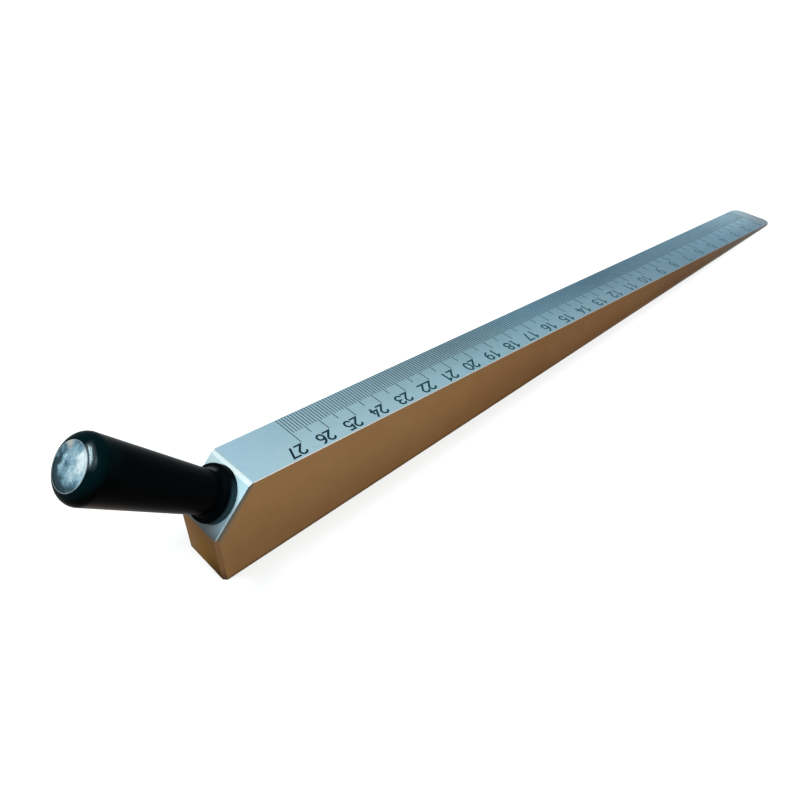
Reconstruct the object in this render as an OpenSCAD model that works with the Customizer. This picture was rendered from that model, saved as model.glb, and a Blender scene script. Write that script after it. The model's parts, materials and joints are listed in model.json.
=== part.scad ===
// Wedge gauge for reading the height of a gap under a straightedge.
// A solid steel bar tapers one part in ten to a thin tip and carries a cut scale on its sloping face.
// A black tapered grip turns freely on a steel spindle screwed into the bar's 45 degree seat.
// Axes: +X points to the thin tip, +Y to the side where the scale lines start, +Z up from the base.
// The origin is the middle of the flat base. All sizes are in millimetres.

/* [Wedge bar] */
// Length of the bar along its flat base, from the back face to the thin tip
bar_length = 300; // [200:1:400]
// Width of the bar
bar_width = 18.5; // [17.5:0.1:30]
// Thickness left at the thin tip
tip_thickness = 0.4; // [0.3:0.05:1]
// Length of bar for each millimetre of thickness gained
taper_run = 10; // [9:0.5:11]
// Rounding of the two corners of the tip, seen from above
tip_corner_radius = 4.5; // [1:0.1:8]
// Height of the back face below the slanted seat of the handle
back_face_height = 15.9; // [12:0.1:18]
// Angle of the seat from the base
seat_angle = 45; // [40:1:50]
// Bevel where the sloping face meets the seat, measured along either face
seat_top_bevel = 0.9; // [0.3:0.1:1.2]
// Width, on the seat, of the long bevel along both of its sides
seat_side_bevel = 0.25; // [0.1:0.05:0.6]
// Depth of the same bevel on the sides of the bar, level with the handle's axis
seat_side_bevel_depth = 1.6; // [0.4:0.1:2]
// Angle by which the same bevel runs out towards the top of the seat
seat_side_bevel_run_out = 2.5; // [0:0.5:4]
// Bevel of the two upright edges of the back face
back_edge_bevel = 1; // [0.2:0.1:1.5]
// Fine break of the two long edges of the sloping face
long_edge_break = 0.15; // [0.1:0.05:0.5]

/* [Scale] */
// First thickness that the scale reads
first_reading = 1; // [1:1:5]
// Last thickness that the scale reads
last_reading = 27; // [12:1:28]
// Lines for each millimetre of thickness
lines_per_reading = 10; // [2:2:10]
// Width of a cut line
line_width = 0.27; // [0.1:0.01:0.3]
// Depth of a cut line
line_depth = 0.12; // [0.05:0.01:0.2]
// Length of the line at each whole reading, from the side edge
whole_line_length = 12.6; // [11:0.1:15]
// Length of the line halfway between two whole readings
half_line_length = 10.7; // [9:0.1:11]
// Length of the lines in between
short_line_length = 8; // [5:0.1:9]

/* [Handle grip] */
// Length of the grip from its collar face to its free end
grip_length = 45.6; // [35:0.1:70]
// Largest diameter, near the free end
grip_end_diameter = 17.8; // [16:0.1:22]
// Rounding of the free end
grip_end_rounding = 3.6; // [1.5:0.1:4]
// Diameter of the neck, where the taper meets the collar fillet
neck_diameter = 12.4; // [12:0.1:14]
// Diameter of the collar at the foot of the grip
collar_diameter = 16.5; // [16:0.1:17]
// Thickness of the collar
collar_thickness = 2.7; // [1.5:0.1:4]
// Largest fillet between the neck and the collar, where the collar leaves room for it
neck_fillet_radius = 1.4; // [0.5:0.1:2]
// Rounding of the collar's rim on the side of the grip
collar_rim_rounding = 0.6; // [0.3:0.1:0.8]
// Distance of the handle's axis from the lower edge of the seat, along the seat
handle_position = 9.8; // [9:0.1:10.5]

/* [Spindle and end cap] */
// Diameter of the spindle's plain shank, on which the grip turns
shank_diameter = 8; // [7:0.1:9]
// Diameter of the threaded stud that holds the spindle in the bar
stud_diameter = 6; // [5:0.5:6.5]
// Length of the stud
stud_length = 10; // [6:0.5:12]
// Diameter of the spindle's head
head_diameter = 11.4; // [10.6:0.1:11.4]
// Thickness of the spindle's head
head_thickness = 3.2; // [2.5:0.1:5]
// Size across the flats of the hexagon socket in the head
socket_across_flats = 4; // [3:0.5:5]
// Depth of the hexagon socket
socket_depth = 2; // [1:0.1:2.2]
// Diameter of the pressed cap that closes the free end
cap_diameter = 12.4; // [11.8:0.1:13]
// Thickness of the cap at its rim
cap_thickness = 1.2; // [0.8:0.1:2]
// Width of the cap's raised rim
cap_rim_width = 0.3; // [0.2:0.1:1]
// Depth of the dished middle of the cap below the rim
cap_dish_depth = 0.1; // [0.1:0.05:0.4]
// Height of the cap's rim above the end of the grip
cap_stand_out = 0; // [0:0.05:0.4]

/* [Fits] */
// Radial clearance of the grip's bore on the shank
shank_clearance = 0.08; // [0.03:0.01:0.1]
// Radial clearance of the stud in its hole
stud_clearance = 0.04; // [0.02:0.01:0.1]
// Gap between the collar's face and the seat, and again between the grip and the head
end_play = 0.12; // [0.05:0.01:0.25]
// Gap between the spindle's head and the cap
cap_gap = 0.3; // [0.2:0.05:0.6]
// Extra depth of the hole beyond the end of the stud
hole_run_out = 1.5; // [0.5:0.5:3]

/* [Hidden] */
$fn = 96;

// Distance that every cutting body reaches past the surface it cuts
over = 1;
half_length = bar_length / 2;
half_width = bar_width / 2;
// Thickness that the bar would have at its back face without the seat
full_height = tip_thickness + bar_length / taper_run;
slope = atan(1 / taper_run);
// Place where the sloping face would come down to nothing, which is the scale's zero
zero_x = half_length + tip_thickness * taper_run;
// Horizontal reach of the seat, from the back face to the sloping face
seat_reach = (full_height - back_face_height) / (tan(seat_angle) + 1 / taper_run);
seat_corner = [seat_reach - half_length, back_face_height + seat_reach * tan(seat_angle)];
// Length along the sloping face from the zero to a whole reading
reading_pitch = taper_run / cos(slope);
head_seat = grip_length - cap_thickness + cap_stand_out - cap_gap - head_thickness;
cap_foot = grip_length - cap_thickness + cap_stand_out;
neck_radius = neck_diameter / 2;
collar_radius = collar_diameter / 2;
fillet_radius = min(neck_fillet_radius, collar_radius - collar_rim_rounding - neck_radius);
// Centre of the arc that rounds the grip's free end
end_arc = [grip_end_diameter / 2 - grip_end_rounding, grip_length - grip_end_rounding];
// Foot of the straight taper, just above the collar's fillet
taper_foot = [neck_radius, collar_thickness + fillet_radius];
end_arc_reach = norm(end_arc - taper_foot);
// Half angle of the taper, for which its side runs into the end arc without a step
taper_angle = atan2(end_arc[0] - taper_foot[0], end_arc[1] - taper_foot[1])
    + asin(grip_end_rounding / end_arc_reach);
taper_top = end_arc + grip_end_rounding * [cos(taper_angle), -sin(taper_angle)];

// Puts its children on the seat, with +Z along the handle's axis and the seat at z = 0
module on_seat() {
    translate([-half_length, 0, back_face_height])
        rotate([0, -seat_angle, 0])
            translate([handle_position, 0, 0])
                children();
}

// Puts its children on the sloping face, with -X running from the scale's zero to the back
module on_slope() {
    translate([zero_x, 0, 0])
        rotate([0, slope, 0])
            children();
}

// Prism along X that takes the edge off at the origin, where an upper face meets the side towards side * Y
module edge_cut(side, width_on_top, depth_on_side, cut_length) {
    rotate([90, 0, 90])
        linear_extrude(cut_length, center = true)
            polygon([
                [-2 * side * width_on_top, depth_on_side],
                [side * width_on_top, -2 * depth_on_side],
                [side * width_on_top, depth_on_side]
            ]);
}

// Outline of the bar from the side, with the bevel between the sloping face and the seat
module side_outline() {
    polygon([
        [-half_length, 0],
        [half_length, 0],
        [half_length, tip_thickness],
        seat_corner + seat_top_bevel * [cos(slope), -sin(slope)],
        seat_corner - seat_top_bevel * [cos(seat_angle), sin(seat_angle)],
        [-half_length, back_face_height]
    ]);
}

// Outline of the bar from above, with bevelled back corners and rounded tip corners
module plan_outline() {
    round_x = half_length - tip_corner_radius;
    round_y = half_width - tip_corner_radius;
    polygon([
        [-half_length, back_edge_bevel - half_width],
        [back_edge_bevel - half_length, -half_width],
        [round_x, -half_width],
        [round_x, half_width],
        [back_edge_bevel - half_length, half_width],
        [-half_length, half_width - back_edge_bevel]
    ]);
    translate([round_x - over, -round_y])
        square([tip_corner_radius + over, 2 * round_y]);
    for (side = [-1, 1])
        translate([round_x, side * round_y])
            circle(r = tip_corner_radius);
}

// Solid wedge before the scale and the hole are cut
module wedge_blank() {
    intersection() {
        translate([0, half_width + over, 0])
            rotate([90, 0, 0])
                linear_extrude(bar_width + 2 * over)
                    side_outline();
        translate([0, 0, -over])
            linear_extrude(full_height + 2 * over)
                plan_outline();
    }
}

// Length of a scale line from its place in the run of lines
function line_length(count) =
    count % lines_per_reading == 0 ? whole_line_length
    : 2 * count % lines_per_reading == 0 ? half_line_length
    : short_line_length;

// Cuts for every scale line, each running in from the side where the lines start
module scale_cuts() {
    on_slope()
        for (count = [first_reading * lines_per_reading : last_reading * lines_per_reading])
            translate([
                -count * reading_pitch / lines_per_reading - line_width / 2,
                half_width - line_length(count),
                -line_depth
            ])
                cube([line_width, line_length(count) + over, line_depth + over]);
}

// Ground steel bar with the scale cut into its sloping face and a tapped hole in its seat
module wedge_bar() {
    color([0.62, 0.68, 0.72])
        difference() {
            wedge_blank();
            scale_cuts();
            for (side = [-1, 1]) {
                on_slope()
                    translate([-half_length, side * half_width, 0])
                        edge_cut(side, long_edge_break, long_edge_break, 2 * bar_length);
                on_seat()
                    translate([0, side * half_width, 0])
                        rotate([0, -seat_side_bevel_run_out, 0])
                            edge_cut(side, seat_side_bevel, seat_side_bevel_depth, 3 * full_height);
            }
            on_seat()
                translate([0, 0, -stud_length - hole_run_out])
                    cylinder(r = stud_diameter / 2 + stud_clearance, h = stud_length + hole_run_out + over);
        }
}

// Turned steel spindle: a stud in the bar, a plain shank for the grip and a head that keeps it on
module handle_spindle() {
    color([0.72, 0.74, 0.76])
        on_seat()
            difference() {
                union() {
                    translate([0, 0, -stud_length])
                        cylinder(d = stud_diameter, h = stud_length + head_seat);
                    cylinder(d = shank_diameter, h = head_seat + head_thickness / 2);
                    translate([0, 0, head_seat])
                        cylinder(d = head_diameter, h = head_thickness);
                }
                translate([0, 0, head_seat + head_thickness - socket_depth])
                    cylinder(d = socket_across_flats / cos(30), h = socket_depth + over, $fn = 6);
            }
}

// Half section of the grip's outside, with the axis along the sheet's upright edge
module grip_outline() {
    difference() {
        union() {
            polygon([
                [0, end_play],
                [collar_radius, end_play],
                [collar_radius, collar_thickness - collar_rim_rounding],
                [collar_radius - collar_rim_rounding, collar_thickness],
                [neck_radius + fillet_radius, collar_thickness],
                taper_foot,
                taper_top,
                end_arc,
                [end_arc[0], grip_length],
                [0, grip_length]
            ]);
            translate([collar_radius - collar_rim_rounding, collar_thickness - collar_rim_rounding])
                circle(r = collar_rim_rounding);
            translate(end_arc)
                circle(r = grip_end_rounding);
        }
        translate([neck_radius + fillet_radius, collar_thickness + fillet_radius])
            circle(r = fillet_radius);
    }
}

// Moulded grip: a taper that swells to the free end, with a collar at the foot and a stepped bore
module handle_grip() {
    color([0.05, 0.05, 0.06])
        on_seat()
            difference() {
                rotate_extrude()
                    grip_outline();
                cylinder(r = shank_diameter / 2 + shank_clearance, h = grip_length);
                translate([0, 0, head_seat - end_play])
                    cylinder(d = cap_diameter, h = grip_length);
            }
}

// Pressed steel cap with a raised rim and a dished middle, fixed in the free end of the grip
module end_cap() {
    color([0.75, 0.8, 0.82])
        on_seat()
            translate([0, 0, cap_foot])
                difference() {
                    cylinder(d = cap_diameter, h = cap_thickness);
                    translate([0, 0, cap_thickness - cap_dish_depth])
                        cylinder(r = cap_diameter / 2 - cap_rim_width, h = cap_dish_depth + over);
                }
}

wedge_bar();
handle_spindle();
handle_grip();
end_cap();
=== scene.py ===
import json
import math

import bpy
import numpy as np
from mathutils import Matrix, Quaternion, Vector


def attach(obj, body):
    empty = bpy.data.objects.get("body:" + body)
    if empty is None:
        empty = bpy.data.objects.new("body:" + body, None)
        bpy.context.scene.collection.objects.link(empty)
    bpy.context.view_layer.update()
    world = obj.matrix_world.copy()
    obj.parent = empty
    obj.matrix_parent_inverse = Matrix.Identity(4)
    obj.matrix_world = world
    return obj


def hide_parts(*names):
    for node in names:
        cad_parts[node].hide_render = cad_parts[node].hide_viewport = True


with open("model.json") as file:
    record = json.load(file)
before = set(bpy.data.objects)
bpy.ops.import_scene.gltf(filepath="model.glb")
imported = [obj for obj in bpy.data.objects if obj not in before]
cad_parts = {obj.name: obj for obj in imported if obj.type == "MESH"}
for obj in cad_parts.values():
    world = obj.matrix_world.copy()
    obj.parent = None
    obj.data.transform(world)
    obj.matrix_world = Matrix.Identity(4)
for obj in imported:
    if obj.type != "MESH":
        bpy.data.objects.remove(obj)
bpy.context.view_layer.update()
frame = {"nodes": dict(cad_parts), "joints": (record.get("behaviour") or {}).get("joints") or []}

# Camera.
# It stands behind the thick end, above the near side, and looks along the bar towards the thin tip.
# Its place, aim and lens were worked out from the scale lines and the long edges of the bar.
scene = bpy.context.scene
scene.view_settings.view_transform = "Standard"

camera_place = Vector((-0.20813, -0.14752, 0.18283))
camera_aim = Vector((-0.06193, 0.01502, 0.0))
camera_roll = math.radians(-0.995)
sensor_width, lens_length = 36.0, 36.801
nearest_seen, farthest_seen = 0.01, 20.0

camera_data = bpy.data.cameras.new("camera")
camera_data.sensor_width = sensor_width
camera_data.lens = lens_length
camera_data.clip_start = nearest_seen
camera_data.clip_end = farthest_seen
camera = bpy.data.objects.new("camera", camera_data)
camera.location = camera_place
camera.rotation_mode = "QUATERNION"
level_view = (camera_aim - camera_place).to_track_quat("-Z", "Y")
camera.rotation_quaternion = level_view @ Quaternion((0, 0, 1), camera_roll)
scene.collection.objects.link(camera)
scene.camera = camera


# Floor, studio light and background.
# The floor is one pale sheet just under the base of the bar, lit by two strips, a panel and a pale surround.
# Floor and surround are white to the eye and show in metal too, and the floor keeps the object's shadow.
floor_half = 4.0
floor_drop = 0.00005
floor_corners = np.array([[-1, -1, 0], [1, -1, 0], [1, 1, 0], [-1, 1, 0]])
floor_colour = (0.80, 0.80, 0.80, 1.0)
near_glow, far_glow = 0.30, 0.66
near_distance, far_distance = 0.6, 2.5
surround_light, surround_in_gloss = 0.44, 0.64
surround_colour = (1.0, 1.0, 1.0, 1.0)
panel_colour = (0.90, 0.98, 1.0)
panel_target = Vector((-0.175, 0.0, 0.055))


def add_node(tree, kind, inputs=None, **settings):
    """Adds one shader node, sets its properties, and sets or links each named or numbered input."""
    made = tree.nodes.new(kind)
    for name, value in settings.items():
        setattr(made, name, value)
    for name, value in (inputs or {}).items():
        if isinstance(value, bpy.types.NodeSocket):
            tree.links.new(value, made.inputs[name])
        else:
            made.inputs[name].default_value = value
    return made


def reckon(tree, operation, *terms):
    """One step of arithmetic on one, two or three terms, each a socket or a number."""
    return add_node(tree, "ShaderNodeMath", dict(enumerate(terms)), operation=operation).outputs[0]


def reckon_vectors(tree, operation, *terms):
    """One step of arithmetic on vectors. Lengths, distances and dot products come out as numbers."""
    made = add_node(tree, "ShaderNodeVectorMath", dict(enumerate(terms)), operation=operation)
    return made.outputs["Value" if operation in ("LENGTH", "DISTANCE", "DOT_PRODUCT") else "Vector"]


def ranged(tree, value, start, full, least=0.0, most=1.0, shape="LINEAR"):
    """Goes from least to most while the value goes from start to full, and stays put beyond either end.

    The value may fall from start to full as well as rise. A SMOOTHSTEP shape eases in and out."""
    inputs = {"Value": value, "From Min": start, "From Max": full, "To Min": least, "To Max": most}
    return add_node(tree, "ShaderNodeMapRange", inputs, interpolation_type=shape).outputs[0]


def add_mesh(name, points, faces, smooth=False):
    """Makes a mesh object at the origin from an array of points and an array of faces of one corner count."""
    mesh = bpy.data.meshes.new(name)
    mesh.from_pydata(points.reshape(-1, 3).tolist(), [], faces.tolist())
    mesh.polygons.foreach_set("use_smooth", np.full(len(mesh.polygons), smooth))
    mesh.update()
    made = bpy.data.objects.new(name, mesh)
    scene.collection.objects.link(made)
    return made


def new_material(name):
    """A material with an empty node tree and its output node."""
    made = bpy.data.materials.new(name)
    made.use_nodes = True
    made.node_tree.nodes.clear()
    return made, made.node_tree, made.node_tree.nodes.new("ShaderNodeOutputMaterial")


def directly_or_in_gloss(tree, in_gloss=1.0):
    """A socket that is 1 for what is seen directly or through glass, in_gloss in a reflection, and else 0."""
    ray = add_node(tree, "ShaderNodeLightPath").outputs
    gloss = reckon(tree, "MULTIPLY", ray["Is Glossy Ray"], in_gloss)
    either = reckon(tree, "MAXIMUM", ray["Is Camera Ray"], gloss)
    return reckon(tree, "MAXIMUM", either, ray["Is Transmission Ray"])


floor = add_mesh("floor", floor_corners * floor_half - [0, 0, floor_drop], np.array([[0, 1, 2, 3]]))
floor_material, tree, output = new_material("floor_sheet")
sheet = add_node(tree, "ShaderNodeBsdfDiffuse", {"Color": floor_colour})
away = reckon_vectors(tree, "LENGTH", add_node(tree, "ShaderNodeTexCoord").outputs["Object"])
own_glow = ranged(tree, away, near_distance, far_distance, near_glow, far_glow)
glow_strength = reckon(tree, "MULTIPLY", directly_or_in_gloss(tree), own_glow)
glow = add_node(tree, "ShaderNodeEmission", {"Strength": glow_strength})
both = add_node(tree, "ShaderNodeAddShader", {0: sheet.outputs[0], 1: glow.outputs[0]})
tree.links.new(both.outputs[0], output.inputs["Surface"])
floor.data.materials.append(floor_material)

world = bpy.data.worlds.new("surround")
world.use_nodes = True
tree = world.node_tree
tree.nodes.clear()
surround = ranged(tree, directly_or_in_gloss(tree, surround_in_gloss), 0.0, 1.0, surround_light, 1.0)
backdrop = add_node(tree, "ShaderNodeBackground", {"Color": surround_colour, "Strength": surround})
tree.links.new(backdrop.outputs[0], add_node(tree, "ShaderNodeOutputWorld").inputs["Surface"])
scene.world = world


def add_panel(name, bearing, rise, away, width, height, power):
    """A soft panel that faces the handle's free end, from a bearing and a rise in degrees and a distance."""
    turn, lift = math.radians(bearing), math.radians(rise)
    towards = Vector((math.cos(lift) * math.cos(turn), math.cos(lift) * math.sin(turn), math.sin(lift)))
    data = bpy.data.lights.new(name, "AREA")
    data.shape, data.size, data.size_y, data.energy = "RECTANGLE", width, height, power
    data.color = panel_colour
    made = bpy.data.objects.new(name, data)
    made.location = panel_target + away * towards
    made.rotation_mode = "QUATERNION"
    made.rotation_quaternion = (-towards).to_track_quat("-Z", "Y")
    scene.collection.objects.link(made)


add_panel("low_strip", bearing=143.0, rise=53.0, away=1.35, width=0.80, height=0.16, power=6.5)
add_panel("high_strip", bearing=140.0, rise=63.5, away=1.35, width=0.70, height=0.14, power=4.5)
add_panel("near_panel", bearing=-75.0, rise=65.0, away=1.45, width=0.8, height=0.8, power=12.0)


# Wedge bar.
# A solid bar of tool steel, milled and then ground flat on its base, its sloping face and its sides.
# The sloping face and the slanted seat are painted bright and cool, and the sides and the back warm brown, as
# painted reflections of the surroundings by the way each face turns.
handle_foot = Vector(frame["joints"][0]["pos_m"])
handle_lean = math.radians(45.0)
finer_noise, finer_share = 5.3, 0.4
coarse_detail, fine_detail = 2.0, 3.0
marks_detail, marks_roughness = 4.0, 0.65


def cloud_group():
    """Soft tone differences: two sizes of noise on the given coordinates, averaged, from 0 to 1 about 0.5."""
    group = bpy.data.node_groups.new("soft_clouds", "ShaderNodeTree")
    group.interface.new_socket("Vector", in_out="INPUT", socket_type="NodeSocketVector")
    group.interface.new_socket("Size", in_out="INPUT", socket_type="NodeSocketFloat")
    group.interface.new_socket("Tone", in_out="OUTPUT", socket_type="NodeSocketFloat")
    given = add_node(group, "NodeGroupInput").outputs
    fineness = reckon(group, "DIVIDE", 1.0, given["Size"])
    finer = reckon(group, "MULTIPLY", fineness, finer_noise)
    layers = []
    for scale, detail in ((fineness, coarse_detail), (finer, fine_detail)):
        inputs = {"Vector": given["Vector"], "Scale": scale, "Detail": detail}
        layers.append(add_node(group, "ShaderNodeTexNoise", inputs).outputs["Fac"])
    inputs = {"Factor": finer_share, 2: layers[0], 3: layers[1]}
    mean = add_node(group, "ShaderNodeMix", inputs, data_type="FLOAT")
    group.links.new(mean.outputs[0], add_node(group, "NodeGroupOutput").inputs["Tone"])
    return group


def grain_group():
    """Grinding marks: noise squeezed across the marks and drawn out along them, by the numbers of Stretch."""
    group = bpy.data.node_groups.new("grinding_marks", "ShaderNodeTree")
    group.interface.new_socket("Vector", in_out="INPUT", socket_type="NodeSocketVector")
    group.interface.new_socket("Stretch", in_out="INPUT", socket_type="NodeSocketVector")
    group.interface.new_socket("Marks", in_out="OUTPUT", socket_type="NodeSocketFloat")
    given = add_node(group, "NodeGroupInput").outputs
    drawn = reckon_vectors(group, "MULTIPLY", given["Vector"], given["Stretch"])
    inputs = {"Vector": drawn, "Scale": 1.0, "Detail": marks_detail, "Roughness": marks_roughness}
    noise = add_node(group, "ShaderNodeTexNoise", inputs).outputs["Fac"]
    group.links.new(noise, add_node(group, "NodeGroupOutput").inputs["Marks"])
    return group


soft_clouds = cloud_group()
grinding_marks = grain_group()


def clouds_on(tree, place, size):
    """The soft clouds at a place, from their size in metres."""
    inputs = {"Vector": place, "Size": size}
    return add_node(tree, "ShaderNodeGroup", inputs, node_tree=soft_clouds).outputs["Tone"]


def marks_on(tree, place, stretch):
    """The grinding marks at a place, from the number of marks a metre along each axis."""
    inputs = {"Vector": place, "Stretch": stretch}
    return add_node(tree, "ShaderNodeGroup", inputs, node_tree=grinding_marks).outputs["Marks"]


def relief_from(tree, height, strength, depth):
    """The surface's normal, tilted by a height that runs from 0 to 1 over the given depth in metres."""
    inputs = {"Height": height, "Strength": strength, "Distance": depth}
    return add_node(tree, "ShaderNodeBump", inputs).outputs[0]


def split(tree, vector):
    """The three parts of a vector, named X, Y and Z."""
    return add_node(tree, "ShaderNodeSeparateXYZ", {0: vector}).outputs


def colour_ramp(tree, share, stops):
    """Colour from a list of places, from 0 to 1, each with its colour."""
    made = add_node(tree, "ShaderNodeValToRGB", {"Fac": share})
    elements = made.color_ramp.elements
    while len(elements) < len(stops):
        elements.new(0.5)
    for element, (place, colour) in zip(elements, stops):
        element.position, element.color = place, (*colour, 1.0)
    return made.outputs["Color"]


def mixed(tree, share, first, second):
    """The first colour turning into the second as share goes from 0 to 1, each a socket or three numbers."""
    first, second = ((*c, 1.0) if isinstance(c, tuple) else c for c in (first, second))
    inputs = {"Factor": share, 6: first, 7: second}
    return add_node(tree, "ShaderNodeMix", inputs, data_type="RGBA").outputs[2]


def along_handle(tree):
    """Coordinates from the handle's foot, with X up the seat, Y across the bar and Z along the handle."""
    inputs = {
        "Vector": add_node(tree, "ShaderNodeTexCoord").outputs["Object"],
        "Location": Matrix.Rotation(handle_lean, 3, "Y") @ -handle_foot,
        "Rotation": (0.0, handle_lean, 0.0),
    }
    return add_node(tree, "ShaderNodeMapping", inputs).outputs[0]


def cover(tree, output, inputs):
    """Ends a material with its Principled surface."""
    surface = add_node(tree, "ShaderNodeBsdfPrincipled", inputs)
    tree.links.new(surface.outputs[0], output.inputs["Surface"])


# Ranges over the bar. The first two numbers of each are where a look starts and where it is full.
# Where there are four, the other two are its least and its greatest share.
bar_ends = (-0.15, 0.15)
middle_strip = (-0.006, 0.006)
faces_up = (0.15, 0.6)
faces_back = (-0.8, -0.95)
faces_like_seat = (-0.5, -0.65)
faces_like_ridge = (-0.1, -0.3)
faces_up_like_ridge = (0.75, 0.85)
faces_like_corner = (-0.3, -0.5)
faces_near = (0.0, -0.5)
turns_up = (0.2, 0.4)
turns_back = (-0.04, -0.1)

# Painted cool reflections on the sloping face, brightest at the thick end.
near_face_colours = (
    (0.0, (0.36, 0.55, 0.66)),
    (0.10, (0.33, 0.49, 0.56)),
    (0.34, (0.24, 0.40, 0.47)),
    (0.62, (0.175, 0.30, 0.375)),
    (0.78, (0.120, 0.240, 0.315)),
    (0.88, (0.128, 0.268, 0.358)),
    (1.0, (0.15, 0.26, 0.34)),
)
far_face_colours = (
    (0.0, (0.36, 0.55, 0.66)),
    (0.10, (0.28, 0.44, 0.52)),
    (0.34, (0.15, 0.26, 0.31)),
    (0.48, (0.127, 0.28, 0.37)),
    (0.62, (0.085, 0.20, 0.28)),
    (0.88, (0.18, 0.35, 0.46)),
    (0.95, (0.32, 0.54, 0.66)),
)


def face_tone(tree, along, across):
    """The sloping face: a cool painted reflection, brightest at the thick end, with its own colours on either
    half.
    """
    near_half = colour_ramp(tree, along, near_face_colours)
    far_half = colour_ramp(tree, along, far_face_colours)
    return mixed(tree, across, near_half, far_half)


# Painted warm brown reflections on the upright faces, and painted shade at the foot of the back.
side_colours = (
    (0.0, (0.205, 0.112, 0.048)),
    (0.3, (0.20, 0.108, 0.050)),
    (0.6, (0.172, 0.096, 0.058)),
    (0.8, (0.137, 0.096, 0.080)),
    (0.92, (0.142, 0.142, 0.146)),
)
back_colours = (
    (0.0, (0.155, 0.098, 0.048)),
    (0.45, (0.215, 0.120, 0.050)),
    (1.0, (0.28, 0.175, 0.105)),
)
paler_side_colour = (0.26, 0.16, 0.08)
back_foot_colour = (0.078, 0.045, 0.032)
back_head_colour = (0.185, 0.115, 0.082)
side_clouding = (0.4, 0.65, 0.0, 0.25)
back_foot_height, back_foot_width = (0.0075, 0.002), (0.0, -0.006)
back_head_height = (0.008, 0.013, 0.0, 0.5)


def upright_tone(tree, spot, along, across, clouds, rearward):
    """The upright faces: a warm brown painted reflection on the sides with paler clouds, and a back painted
    darkest at its near foot as painted shade.
    """
    # Paler clouds within the painted reflection of the sides.
    worn = ranged(tree, clouds, *side_clouding)
    side = mixed(tree, worn, colour_ramp(tree, along, side_colours), paler_side_colour)
    foot = ranged(tree, spot["Z"], *back_foot_height)
    foot = reckon(tree, "MULTIPLY", foot, ranged(tree, spot["Y"], *back_foot_width))
    back = mixed(tree, foot, colour_ramp(tree, across, back_colours), back_foot_colour)
    back = mixed(tree, ranged(tree, spot["Z"], *back_head_height), back, back_head_colour)
    return mixed(tree, rearward, side, back)


# Painted shade and light on the seat, dark at its foot and bright above.
near_seat_colours = (
    (0.0, (0.070, 0.085, 0.085)),
    (0.3, (0.32, 0.46, 0.53)),
    (0.65, (0.64, 0.88, 0.95)),
    (1.0, (0.48, 0.72, 0.80)),
)
far_seat_colours = (
    (0.0, (0.09, 0.11, 0.11)),
    (0.3, (0.20, 0.28, 0.31)),
    (0.65, (0.38, 0.52, 0.56)),
    (1.0, (0.54, 0.74, 0.76)),
)
# A painted highlight along the seat's near edge.
seat_edge_highlight_colour = (0.62, 0.82, 0.90)
seat_ends = (-0.0097, 0.0090)
seat_edge_highlight_band = (-0.0082, -0.0089, 0.0, 0.7)


def seat_tone(tree, spot, across, beside_seat):
    """The slanted seat: painted shade at its foot, painted light above, duller on the far side, and a painted
    highlight at its near edge.
    """
    up_seat = ranged(tree, beside_seat["X"], *seat_ends)
    # A painted highlight along the near edge, from where across the seat a place lies.
    rubbed = ranged(tree, spot["Y"], *seat_edge_highlight_band)
    near_seat = mixed(tree, rubbed, colour_ramp(tree, up_seat, near_seat_colours), seat_edge_highlight_colour)
    return mixed(tree, across, near_seat, colour_ramp(tree, up_seat, far_seat_colours))


# Painted reflection and shade on the bevels at the back.
facet_top_colour, facet_foot_colour = (0.056, 0.066, 0.062), (0.165, 0.105, 0.058)
corner_foot_colour, corner_top_colour = (0.085, 0.046, 0.028), (0.150, 0.080, 0.038)
facet_below_seat = (-0.0001, -0.0015)
corner_height = (0.001, 0.005)


def back_edge_tone(tree, spot, facing, beside_seat):
    """The bevels at the back, in painted reflection and shade: the two facets beside the seat, and the
    upright corners under them, darker at their foot.
    """
    below_seat = ranged(tree, beside_seat["Z"], *facet_below_seat)
    facet = mixed(tree, below_seat, facet_top_colour, facet_foot_colour)
    corner = mixed(tree, ranged(tree, spot["Z"], *corner_height), corner_foot_colour, corner_top_colour)
    return mixed(tree, ranged(tree, facing["X"], *faces_like_corner), facet, corner)


# Painted highlight and shade on the long upper edges.
thick_edge_colour, thin_edge_colour = (0.72, 0.68, 0.64), (0.20, 0.18, 0.18)
far_edge_colour = (0.34, 0.29, 0.27)
edge_fading = (0.1, 0.9)


def long_edge_tone(tree, facing, along):
    """The fine break of the long upper edges, in painted highlight and shade: the near one is bright at the
    thick end and dark at the tip.
    """
    near_edge = mixed(tree, ranged(tree, along, *edge_fading), thick_edge_colour, thin_edge_colour)
    return mixed(tree, ranged(tree, facing["Y"], *faces_near), far_edge_colour, near_edge)


# A painted highlight on the bevel over the seat.
ridge_rise = 0.0006966
ridge_slant = 0.2
ridge_fading = (0.76, 1.02)
ridge_colour, faded_ridge_colour = (0.53, 0.62, 0.63), (0.26, 0.36, 0.39)


def ridge_tone(tree, across, beside_seat):
    """The bevel over the seat: a pale painted highlight that fades near its upper edge, and sooner on the far
    side.
    """
    rise = reckon(tree, "MULTIPLY", beside_seat["Z"], -1.0 / ridge_rise)
    rise = reckon(tree, "MULTIPLY_ADD", across, ridge_slant, rise)
    return mixed(tree, ranged(tree, rise, *ridge_fading), ridge_colour, faded_ridge_colour)


# Painted shade along the floor edges, dark at the thick end and paler towards the tip.
base_edge = (0.0014, 0.0001, 0.0, 0.55)
base_edge_fading = (0.45, 0.75)
thick_base_colour, thin_base_colour = (0.05, 0.035, 0.025), (0.34, 0.30, 0.27)
cloud_size, stain_size = 0.03, 0.0022
stain_strength = (0.35, 0.65, -0.012, 0.012)
bar_stretch = (260.0, 5200.0, 5200.0)
bar_mirror, near_seat_dulling = (0.0, 1.0, 1.0, 0.4), (0.0, 1.0, 0.3, 0.0)
bar_roughness = (0.3, 0.7, 0.26, 0.38)
bar_tint = (0.45, 0.38, 0.32, 1.0)
bar_relief, bar_relief_depth = 0.08, 0.00002


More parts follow.
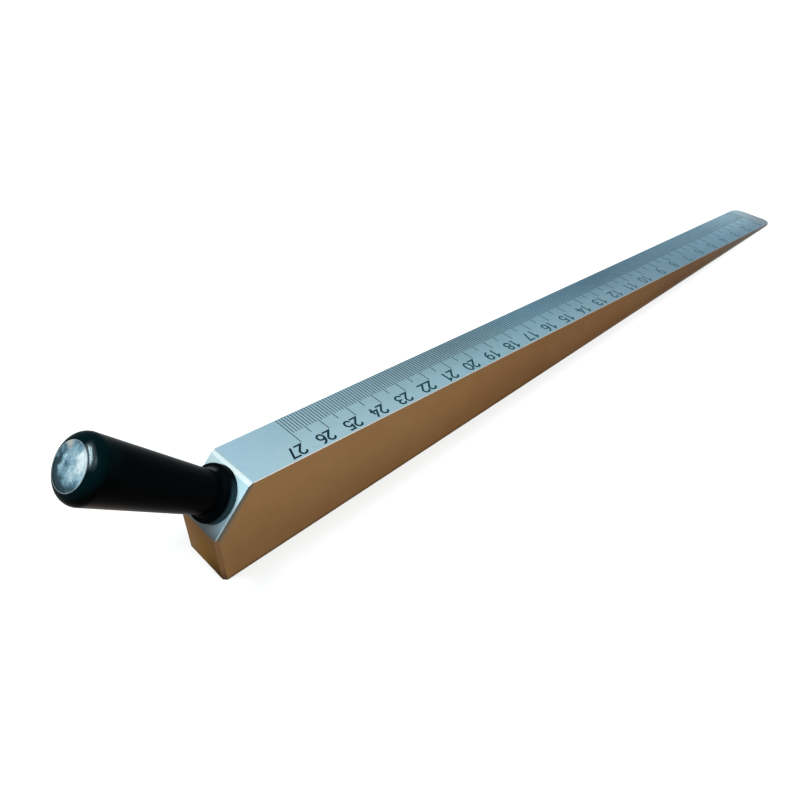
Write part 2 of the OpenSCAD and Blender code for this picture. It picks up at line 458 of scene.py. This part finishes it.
def bar_material():
    """Ground steel with grinding marks, painted bright and cool where the surface faces up and warm brown on
    the upright sides, as painted reflections.

    The tones are laid on one after another, all painted reflection, highlight or shade but for the faint
    stains:
    upright and sloping faces, faint stains, the seat, the bevels at the back, the long upper edges, the
    ridge, and last the edges that touch the floor, painted dark at the thick end and pale towards the tip."""
    made, tree, output = new_material("ground_steel")
    coordinates = add_node(tree, "ShaderNodeTexCoord").outputs
    place = coordinates["Object"]
    spot, facing = split(tree, place), split(tree, coordinates["Normal"])
    beside_seat = split(tree, along_handle(tree))
    along = ranged(tree, spot["X"], *bar_ends)
    across = ranged(tree, spot["Y"], *middle_strip)
    clouds = clouds_on(tree, place, cloud_size)
    marks = marks_on(tree, place, bar_stretch)

    sideways = reckon(tree, "ABSOLUTE", facing["Y"])
    upward = ranged(tree, facing["Z"], *faces_up)
    rearward = ranged(tree, facing["X"], *faces_back)
    slanted = reckon(tree, "MULTIPLY", ranged(tree, facing["X"], *faces_like_seat), upward)
    back_edge = ranged(tree, reckon(tree, "MULTIPLY", facing["X"], sideways), *turns_back)
    long_edge = ranged(tree, reckon(tree, "MULTIPLY", facing["Z"], sideways), *turns_up)
    ridge = ranged(tree, facing["X"], *faces_like_ridge)
    ridge = reckon(tree, "MULTIPLY", ridge, ranged(tree, facing["Z"], *faces_up_like_ridge))

    upright = upright_tone(tree, spot, along, across, clouds, rearward)
    tone = mixed(tree, upward, upright, face_tone(tree, along, across))
    stains = ranged(tree, clouds_on(tree, place, stain_size), *stain_strength)
    stained = {"Factor": 1.0, 6: tone, 7: reckon(tree, "MULTIPLY", stains, upward)}
    tone = add_node(tree, "ShaderNodeMix", stained, data_type="RGBA", blend_type="ADD").outputs[2]
    tone = mixed(tree, slanted, tone, seat_tone(tree, spot, across, beside_seat))
    tone = mixed(tree, back_edge, tone, back_edge_tone(tree, spot, facing, beside_seat))
    tone = mixed(tree, long_edge, tone, long_edge_tone(tree, facing, along))
    tone = mixed(tree, ridge, tone, ridge_tone(tree, across, beside_seat))
    # Painted shade at the floor edges, last of all.
    base_tone = mixed(tree, ranged(tree, along, *base_edge_fading), thick_base_colour, thin_base_colour)
    tone = mixed(tree, ranged(tree, spot["Z"], *base_edge), tone, base_tone)

    dulled = reckon(tree, "MULTIPLY", ranged(tree, across, *near_seat_dulling), slanted)
    mirror = reckon(tree, "SUBTRACT", ranged(tree, upward, *bar_mirror), dulled)
    inputs = {
        "Base Color": tone,
        "Metallic": mirror,
        "Roughness": ranged(tree, marks, *bar_roughness),
        "Specular Tint": bar_tint,
        "Normal": relief_from(tree, marks, bar_relief, bar_relief_depth),
    }
    cover(tree, output, inputs)
    return made


def paint_node(name, material):
    """Gives a CAD node one material in place of its own."""
    node = frame["nodes"][name]
    node.data.materials.clear()
    node.data.materials.append(material)


paint_node("wedge_bar", bar_material())


# Scale fill.
# Every cut line of the scale is filled with a dark paint that is wiped flush with the steel.
# One thin strip lies in each cut, a hair below the sloping face, from the far side edge inwards.
rise_over_run = 0.1
slope = math.atan(rise_over_run)
half_width = 0.00925
zero_x = 0.154
first_reading, last_reading = 1, 27
lines_per_reading = 10
line_pitch = 0.001
pitch_along_slope = line_pitch / math.cos(slope)
whole_line, half_line, tenth_line = 0.0126, 0.0107, 0.008
line_width = 0.00027
line_depth = 0.00012
fill_below = 0.00002
fill_gap = 0.000005
fill_short = 0.00017

box_corners = np.array([[i, j, k] for i in (0, 1) for j in (0, 1) for k in (0, 1)], float)
box_faces = np.array([[0, 1, 3, 2], [4, 6, 7, 5], [0, 4, 5, 1], [2, 3, 7, 6], [0, 2, 6, 4], [1, 5, 7, 3]])


def on_slope(back, across, above):
    """Turns distances back from the scale's zero, across the bar and above the sloping face into a place.

    X is the zero's place, less back times the slope's cosine, plus above times its sine. Z is back times the
    sine, plus above times the cosine."""
    x = zero_x - back * math.cos(slope) + above * math.sin(slope)
    z = back * math.sin(slope) + above * math.cos(slope)
    return np.stack([x, across, z], axis=-1)


def scale_fill():
    """One strip per line: a unit box scaled to the cut's width, length and depth and set at the line's place.

    A line's place back along the slope is its count times the pitch. The line of a whole reading is the
    longest, and that of a half reading is longer than the rest."""
    count = np.arange(first_reading * lines_per_reading, last_reading * lines_per_reading + 1)[:, None]
    whole, half = count % lines_per_reading == 0, 2 * count % lines_per_reading == 0
    length = np.where(whole, whole_line, np.where(half, half_line, tenth_line))
    to_thick_end, to_far_side, upwards = box_corners.T
    back = count * pitch_along_slope + (to_thick_end - 0.5) * (line_width - 2 * fill_gap)
    across = half_width - fill_short - (length - fill_short - fill_gap) * (1 - to_far_side)
    above = -line_depth + fill_gap + upwards * (line_depth - fill_gap - fill_below)
    first_corner = len(box_corners) * np.arange(len(count))[:, None, None]
    faces = (box_faces[None, :, ::-1] + first_corner).reshape(-1, 4)
    return add_mesh("scale_fill", on_slope(back, across, above), faces)


number_colours = (
    (0.11, (0.002, 0.019, 0.026)),
    (0.35, (0.012, 0.056, 0.076)),
    (0.48, (0.028, 0.085, 0.108)),
    (0.68, (0.066, 0.135, 0.158)),
    (0.95, (0.105, 0.185, 0.230)),
)
dark_paint, worn_paint = (0.003, 0.006, 0.010), (0.014, 0.026, 0.036)
number_zone = (-0.0034, -0.0038, 0.0, 0.85)
paint_cloud_size = 0.002
paint_roughness, paint_gloss = 0.6, 0.05


def marking_material():
    """Dark blue-black paint with a dull surface, worn thin in places, and its numbers paler towards the tip.
    """
    made, tree, output = new_material("scale_paint")
    place = add_node(tree, "ShaderNodeTexCoord").outputs["Object"]
    spot = split(tree, place)
    numbered = ranged(tree, spot["Y"], *number_zone)
    tone = mixed(tree, clouds_on(tree, place, paint_cloud_size), dark_paint, worn_paint)
    tone = mixed(tree, numbered, tone, colour_ramp(tree, ranged(tree, spot["X"], *bar_ends), number_colours))
    cover(tree, output, {"Base Color": tone, "Roughness": paint_roughness, "Specular IOR Level": paint_gloss})
    return made


scale_paint = marking_material()
strips = scale_fill()
strips.data.materials.append(scale_paint)
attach(strips, "bar")


# Numerals.
# Each whole reading has its number beside its line, towards the near edge, marked with a round-nosed tool.
# The numbers are read from the far side. Each starts at its line and runs towards the thick end.
numeral_height = 0.00405
stroke_width = 0.00068
digit_advance = 0.0028
numeral_start = 0.00082
numeral_foot = -0.00395
paint_rise, second_stroke_rise = 0.000012, 0.000003
paint_sunk = -0.00001
round_end_angles = np.radians([75.0, 50.0, 25.0])
sharpest_mitre = 0.35


def arc(centre, radii, start, end, count=14):
    """Points of an elliptical arc, from the start to the end angle in degrees, counted from the right.

    A point is the centre plus the first radius times the angle's cosine and the second times its sine."""
    angle = np.radians(np.linspace(start, end, count))
    return np.stack([centre[0] + radii[0] * np.cos(angle), centre[1] + radii[1] * np.sin(angle)], axis=-1)


def line(*places):
    """The corners of a straight or broken line."""
    return np.array(places, float)


# Each digit is one or two pen strokes in a cell 0.52 wide and 1 high. A stroke is a list of arcs and corners.
# True marks a stroke that closes on itself.
digit_strokes = {
    "0": [(True, [arc((0.26, 0.5), (0.26, 0.5), 90, 430, 30)])],
    "1": [(False, [line((0.06, 0.78), (0.28, 1.0), (0.28, 0.0))])],
    "2": [(False, [arc((0.26, 0.73), (0.25, 0.27), 165, -30), line((0.02, 0.0), (0.53, 0.0))])],
    "3": [
        (False, [arc((0.24, 0.76), (0.23, 0.24), 155, -90), line((0.18, 0.52))]),
        (False, [arc((0.24, 0.27), (0.27, 0.27), 75, -155)]),
    ],
    "4": [(False, [line((0.38, 1.0), (0.0, 0.3), (0.54, 0.3))]), (False, [line((0.4, 0.62), (0.4, 0.0))])],
    "5": [(False, [line((0.48, 1.0), (0.1, 1.0), (0.04, 0.55)), arc((0.25, 0.32), (0.26, 0.32), 120, -150)])],
    "6": [
        (True, [arc((0.26, 0.3), (0.25, 0.3), 90, 430, 24)]),
        (False, [arc((0.42, 0.34), (0.41, 0.66), 175, 95, 10)]),
    ],
    "7": [(False, [line((0.0, 1.0), (0.52, 1.0), (0.18, 0.0))])],
    "8": [
        (True, [arc((0.26, 0.76), (0.21, 0.24), 90, 430, 22)]),
        (True, [arc((0.26, 0.27), (0.26, 0.27), 90, 430, 24)]),
    ],
    "9": [
        (True, [arc((0.26, 0.7), (0.25, 0.3), 90, 430, 24)]),
        (False, [arc((0.1, 0.66), (0.41, 0.66), -5, -85, 10)]),
    ],
}


def pen_stroke(path, closed):
    """A flat ribbon along a path, mitred at corners and round at free ends, as rows of centre and offset.

    A row's offset is the mean of the two normals beside it, over the cosine of half the turn.
    A free end goes on past its last point by the sine of an angle, while its width shrinks by the cosine."""
    half = stroke_width / 2
    if closed:
        before, after = path - np.roll(path, 1, axis=0), np.roll(path, -1, axis=0) - path
    else:
        steps = np.diff(path, axis=0)
        before, after = np.vstack([steps[:1], steps]), np.vstack([steps, steps[-1:]])
    before = before / np.linalg.norm(before, axis=1, keepdims=True)
    after = after / np.linalg.norm(after, axis=1, keepdims=True)
    mean = before + after
    mean = mean / np.linalg.norm(mean, axis=1, keepdims=True)
    normal = np.stack([-mean[:, 1], mean[:, 0]], axis=-1)
    offset = half * normal / np.maximum((mean * after).sum(axis=1, keepdims=True), sharpest_mitre)
    if closed:
        return path, offset
    sine, cosine = np.sin(round_end_angles)[:, None], np.cos(round_end_angles)[:, None]
    head_centre, head_offset = path[0] - after[0] * half * sine, offset[0] * cosine
    foot_centre, foot_offset = path[-1] + before[-1] * half * sine[::-1], offset[-1] * cosine[::-1]
    return np.vstack([head_centre, path, foot_centre]), np.vstack([head_offset, offset, foot_offset])


def ribbon_faces(rows, closed):
    """Faces that join each row of four corners to the next. A free ribbon also has a face over each end."""
    row = np.arange(rows if closed else rows - 1)[:, None]
    following = (row + 1) % rows
    corner = np.arange(4)
    beside = (corner + 1) % 4
    joined = [4 * row + corner, 4 * following + corner, 4 * following + beside, 4 * row + beside]
    faces = np.stack(joined, axis=-1).reshape(-1, 4)
    if closed:
        return faces
    last = 4 * (rows - 1)
    return np.vstack([faces, [[0, 1, 2, 3], [last + 3, last + 2, last + 1, last]]])


def numerals():
    """All numbers in one mesh. A stroke is a thin closed ribbon on the sloping face, four corners a row.

    A digit's place back along the slope is that of its reading's line, plus the start, plus its place in the
    number times the advance."""
    points, faces, used = [], [], 0
    for reading in range(first_reading, last_reading + 1):
        line_place = reading * lines_per_reading * pitch_along_slope
        for place, digit in enumerate(str(reading)):
            start = line_place + numeral_start + place * digit_advance
            for layer, (closed, parts) in enumerate(digit_strokes[digit]):
                path = np.vstack(parts)
                path = path[:-1] if closed else path
                centre, offset = pen_stroke(path * numeral_height, closed)
                left, right = centre + offset, centre - offset
                ribbon = np.stack([left, right, right, left], axis=1)
                top = paint_rise + second_stroke_rise * layer
                above = np.tile([top, top, paint_sunk, paint_sunk], (len(ribbon), 1))
                corners = on_slope(start + ribbon[..., 0], numeral_foot - ribbon[..., 1], above)
                points.append(corners.reshape(-1, 3))
                faces.append(ribbon_faces(len(ribbon), closed)[:, ::-1] + used)
                used += 4 * len(ribbon)
    return add_mesh("scale_numerals", np.vstack(points), np.vstack(faces))


numbers = numerals()
numbers.data.materials.append(scale_paint)
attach(numbers, "bar")


# Handle spindle.
# A turned steel shoulder screw, hidden in the grip, screwed into the seat of the bar.
# It is plain bright steel with fine turning marks round its shank.
spindle_stretch = (100.0, 100.0, 6000.0)
spindle_dark, spindle_pale = (0.42, 0.43, 0.45), (0.6, 0.61, 0.63)
spindle_roughness = 0.3


def spindle_material():
    """Turned steel with fine rings."""
    made, tree, output = new_material("turned_steel")
    rings = marks_on(tree, along_handle(tree), spindle_stretch)
    tone = mixed(tree, rings, spindle_dark, spindle_pale)
    cover(tree, output, {"Base Color": tone, "Metallic": 1.0, "Roughness": spindle_roughness})
    return made


paint_node("handle_spindle", spindle_material())


# Handle grip.
# A black phenolic moulding, polished all over, that turns freely on the spindle.
# It tapers to a slim neck and ends in a round collar that runs close to the seat.
grip_length = 0.0456
end_radius, end_rounding = 0.0089, 0.0036
neck_radius, neck_fillet = 0.0062, 0.0014
collar_radius, collar_thickness, collar_rounding = 0.00825, 0.0027, 0.0006
collar_gap = 0.00012
bore_radius = 0.00408
recess_radius, recess_floor = 0.0062, 0.04078
rim_rows, neck_rows, taper_rows, end_rows = 9, 14, 18, 30
taper_crowding = 1.5
sharp_corner = math.radians(30.0)
seat_along = Vector((-1.0, 0.0, 1.0)).normalized()
seat_up = Vector((1.0, 0.0, 1.0)).normalized()


def bend(centre, radius, start, end, count):
    """Points of a circular arc in the half section, from start to end, where 0 points away from the axis.

    A point is the centre plus the radius times the angle's cosine outwards and its sine along the axis."""
    angle = np.linspace(start, end, count)
    return np.stack([centre[0] + radius * np.cos(angle), centre[1] + radius * np.sin(angle)], axis=-1)


def turned(name, outline, count=192):
    """A body turned round the handle's axis from the corners, radius and height, of its closed half section.

    A point is the foot, plus its height along the handle, plus its radius times the cosine up the seat and
    the sine across the bar."""
    turn = np.linspace(0.0, 2 * np.pi, count, endpoint=False)
    radius, height = outline[:, 0, None], outline[:, 1, None]
    outward = np.cos(turn)[:, None] * np.array(seat_up) + np.sin(turn)[:, None] * np.array([0.0, 1.0, 0.0])
    points = np.array(handle_foot) + height[..., None] * np.array(seat_along) + radius[..., None] * outward
    row, column = np.meshgrid(np.arange(len(outline)), np.arange(count), indexing="ij")
    below, beside = (row + 1) % len(outline), (column + 1) % count
    corners = [row * count + column, row * count + beside, below * count + beside, below * count + column]
    made = add_mesh(name, points, np.stack(corners, axis=-1).reshape(-1, 4), smooth=True)
    made.data.set_sharp_from_angle(angle=sharp_corner)
    return made


def grip_outline():
    """The grip's half section, from the collar's foot up the outside and back down the stepped bore.

    The taper leans so that it runs into the end's rounding without a step: its lean is the angle of the line
    from its foot to the rounding's centre, plus the arc sine of the rounding over that line's length."""
    end_centre = (end_radius - end_rounding, grip_length - end_rounding)
    rim_centre = (collar_radius - collar_rounding, collar_thickness - collar_rounding)
    neck_foot = (neck_radius, collar_thickness + neck_fillet)
    run, rise = end_centre[0] - neck_foot[0], end_centre[1] - neck_foot[1]
    lean = math.atan2(run, rise) + math.asin(end_rounding / math.hypot(run, rise))
    mouth = math.acos((recess_radius - end_centre[0]) / end_rounding)
    end = bend(end_centre, end_rounding, -lean, mouth, end_rows)
    share = np.linspace(0.0, 1.0, taper_rows)[1:-1, None] ** taper_crowding
    return np.vstack(
        [
            [(bore_radius, collar_gap), (collar_radius, collar_gap)],
            bend(rim_centre, collar_rounding, 0, np.pi / 2, rim_rows),
            bend((neck_radius + neck_fillet, neck_foot[1]), neck_fillet, 1.5 * np.pi, np.pi, neck_rows),
            neck_foot + (end[0] - neck_foot) * share,
            end,
            [(recess_radius, recess_floor), (bore_radius, recess_floor)],
        ]
    )


across_axis = (1.0, 1.0, 0.0)
shoulder_height = (0.04430, 0.04490)
rubbed_direction, rubbed_reach = (0.80, -0.60, 0.0), (0.84, 0.985)
glint_height, glint_fading = 0.0038, (0.0011, 0.0003)
glint_direction, glint_reach = (0.86, 0.51, 0.0), (0.88, 0.98)


def grip_polish(tree, place, along):
    """How far the moulding is polished, from 0 to 1, on its rubbed shoulder and in the neck's fillet.

    Each place is a height along the handle times a reach round it, from the dot product of the direction away
    from the axis and the direction of the place's middle."""
    outward = reckon_vectors(tree, "NORMALIZE", reckon_vectors(tree, "MULTIPLY", place, across_axis))
    rubbed = reckon_vectors(tree, "DOT_PRODUCT", outward, rubbed_direction)
    rubbed = ranged(tree, rubbed, *rubbed_reach, shape="SMOOTHSTEP")
    shoulder = reckon(tree, "MULTIPLY", rubbed, ranged(tree, along, *shoulder_height, shape="SMOOTHSTEP"))
    fillet = reckon(tree, "ABSOLUTE", reckon(tree, "SUBTRACT", along, glint_height))
    above = ranged(tree, reckon_vectors(tree, "DOT_PRODUCT", outward, glint_direction), *glint_reach)
    fillet = reckon(tree, "MULTIPLY", ranged(tree, fillet, *glint_fading), above)
    return reckon(tree, "MAXIMUM", shoulder, fillet)


# Painted reflections on the black moulding: its tone by facing, and the rim, end and under tints.
grip_colours = (
    (0.0, (0.0013, 0.0003, 0.0002)),
    (0.5, (0.0003, 0.0003, 0.0004)),
    (1.0, (0.0008, 0.0020, 0.0026)),
)
below_to_above = (-0.7, 0.7)
rim_colour, rim_height, rim_side = (0.016, 0.037, 0.047), (0.0026, 0.0018), (-0.45, -0.85)
end_colour, end_height, end_upward = (0.0006, 0.0068, 0.0082), (0.036, 0.043), (0.1, 0.6)
under_colour, under_downward = (0.062, 0.034, 0.020), (-0.3, -0.7)
under_height, under_glancing = (0.022, 0.034), (0.50, 0.80)


def grip_tone(tree, along):
    """Black, painted a little cooler above than below, with three painted reflections of its surroundings.

    They are a cool one on the near side of the collar's rim, a blue-green one on top of the free end, and a
    warm one at glancing angles under the swelling."""
    facing = split(tree, add_node(tree, "ShaderNodeTexCoord").outputs["Normal"])
    tone = colour_ramp(tree, ranged(tree, facing["Z"], *below_to_above), grip_colours)
    rim = ranged(tree, along, *rim_height)
    rim = reckon(tree, "MULTIPLY", rim, ranged(tree, facing["Y"], *rim_side))
    tone = mixed(tree, rim, tone, rim_colour)
    end = ranged(tree, along, *end_height)
    end = reckon(tree, "MULTIPLY", end, ranged(tree, facing["Z"], *end_upward))
    tone = mixed(tree, end, tone, end_colour)
    glancing = add_node(tree, "ShaderNodeLayerWeight", {"Blend": 0.5}).outputs["Facing"]
    under = ranged(tree, glancing, *under_glancing)
    under = reckon(tree, "MULTIPLY", under, ranged(tree, facing["Z"], *under_downward))
    under = reckon(tree, "MULTIPLY", under, ranged(tree, along, *under_height))
    return mixed(tree, under, tone, under_colour)


grip_cloud_size = 0.010
grip_roughness, polished_roughness = (0.3, 0.7, 0.20, 0.30), 0.17
grip_gloss = (0.0, 1.0, 0.006, 0.80)
grip_tint = (0.70, 0.92, 1.0, 1.0)
grip_relief, grip_relief_depth = 0.05, 0.0002


def grip_material():
    """Black moulding with faint soft reflections, and clear ones on its shoulder and in its neck's fillet."""
    made, tree, output = new_material("black_moulding")
    place = along_handle(tree)
    along = split(tree, place)["Z"]
    clouds = clouds_on(tree, place, grip_cloud_size)
    polish = grip_polish(tree, place, along)
    dull = {"Factor": polish, 2: ranged(tree, clouds, *grip_roughness), 3: polished_roughness}
    inputs = {
        "Base Color": grip_tone(tree, along),
        "Roughness": add_node(tree, "ShaderNodeMix", dull, data_type="FLOAT").outputs[0],
        "Specular IOR Level": ranged(tree, polish, *grip_gloss),
        "Specular Tint": grip_tint,
        "Normal": relief_from(tree, clouds, grip_relief, grip_relief_depth),
    }
    cover(tree, output, inputs)
    return made


grip = turned("polished_grip", grip_outline())
grip.data.materials.append(grip_material())
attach(grip, "grip")
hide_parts("handle_grip")


# End cap.
# A thin steel disc, pressed with a dished middle and a raised rim, plated and pushed into the grip's end.
# Its middle is slightly uneven, and painted in pale and dark patches as painted reflections of the room.
cap_radius = recess_radius
cap_top = grip_length
cap_cloud_size = 0.003
cap_shade = (0.3, 0.7, 0.27, 0.73)
cap_colours = (
    (0.0, (0.018, 0.05, 0.065)),
    (0.3, (0.10, 0.21, 0.28)),
    (0.6, (0.26, 0.46, 0.56)),
    (1.0, (0.80, 0.96, 0.98)),
)
swirl_fineness, swirl_detail, swirl_roughness = 420.0, 3.0, 0.55
swirl_mean, swirl_reach = (0.5, 0.5, 0.5), (0.0042, 0.0042, 0.0)
# A painted warm glint on the disc.
warm_middle, warm_fading, warm_colour = (0.0045, 0.0040, cap_top), (0.0020, 0.0006), (0.55, 0.56, 0.50)
# A pale painted highlight along the disc's rim.
rim_highlight, rim_highlight_colour = (cap_radius - 0.00025, cap_radius - 0.0001, 0.0, 0.5), (0.45, 0.50, 0.50)
cap_roughness = (0.0, 1.0, 0.25, 0.45)
cap_relief, cap_relief_depth = 0.15, 0.0004
# Painted reflections on the disc, as pale and dark spots: place up the seat and across the bar, radius, and
# how much paler.
# A spot below zero is darker. Each fades out a little beyond its radius.
spot_spread = 1.15
cap_spots = (
    (0.0038, -0.0040, 0.0032, 0.46),
    (0.0012, -0.0054, 0.0026, 0.30),
    (0.0046, -0.0014, 0.0024, 0.20),
    (-0.0004, -0.0022, 0.0026, 0.20),
    (-0.0026, 0.0028, 0.0014, 0.40),
    (-0.0006, 0.0028, 0.0015, 0.24),
    (0.0009, 0.0029, 0.0013, 0.22),
    (0.0000, 0.0012, 0.0015, -0.26),
    (0.0002, 0.0046, 0.0022, -0.58),
    (-0.0052, 0.0026, 0.0032, -0.62),
    (-0.0064, -0.0008, 0.0034, -0.62),
    (-0.0040, -0.0048, 0.0026, -0.22),
    (-0.0030, 0.0056, 0.0024, -0.60),
    (0.0056, 0.0004, 0.0020, -0.24),
    (-0.0046, -0.0020, 0.0026, -0.34),
    (-0.0028, -0.0048, 0.0024, -0.30),
    (-0.0039, 0.0024, 0.0017, -0.34),
    (-0.0014, 0.0043, 0.0020, -0.30),
    (0.0034, -0.0008, 0.0023, 0.30),
    (0.0009, 0.0004, 0.0018, 0.16),
    (0.0013, -0.0025, 0.0014, 0.26),
    (0.0024, 0.0052, 0.0018, -0.26),
)


def cap_material():
    """Plated steel with soft pale and dark spots of painted reflection, fine cloud, a painted warm glint, and
    a painted highlight along its rim.

    The spots and the glint are looked up at a place that is smeared by noise, so that their edges wander."""
    made, tree, output = new_material("plated_steel")
    place = along_handle(tree)
    clouds = clouds_on(tree, place, cap_cloud_size)
    noise = {"Vector": place, "Scale": swirl_fineness, "Detail": swirl_detail, "Roughness": swirl_roughness}
    swirl = add_node(tree, "ShaderNodeTexNoise", noise).outputs["Color"]
    swirl = reckon_vectors(tree, "SUBTRACT", swirl, swirl_mean)
    smeared = reckon_vectors(tree, "MULTIPLY_ADD", swirl, swirl_reach, place)

    shade = ranged(tree, clouds, *cap_shade)
    for up_seat, across, radius, change in cap_spots:
        away = reckon_vectors(tree, "DISTANCE", smeared, (up_seat, across, cap_top))
        spot = ranged(tree, away, spot_spread * radius, 0.0, 0.0, change, shape="SMOOTHSTEP")
        shade = reckon(tree, "ADD", shade, spot)
    tone = colour_ramp(tree, shade, cap_colours)
    warm = ranged(tree, reckon_vectors(tree, "DISTANCE", smeared, warm_middle), *warm_fading)
    tone = mixed(tree, warm, tone, warm_colour)
    from_axis = reckon_vectors(tree, "LENGTH", reckon_vectors(tree, "MULTIPLY", place, across_axis))
    tone = mixed(tree, ranged(tree, from_axis, *rim_highlight), tone, rim_highlight_colour)

    inputs = {
        "Base Color": tone,
        "Metallic": 1.0,
        "Roughness": ranged(tree, clouds, *cap_roughness),
        "Normal": relief_from(tree, clouds, cap_relief, cap_relief_depth),
    }
    cover(tree, output, inputs)
    return made


paint_node("end_cap", cap_material())
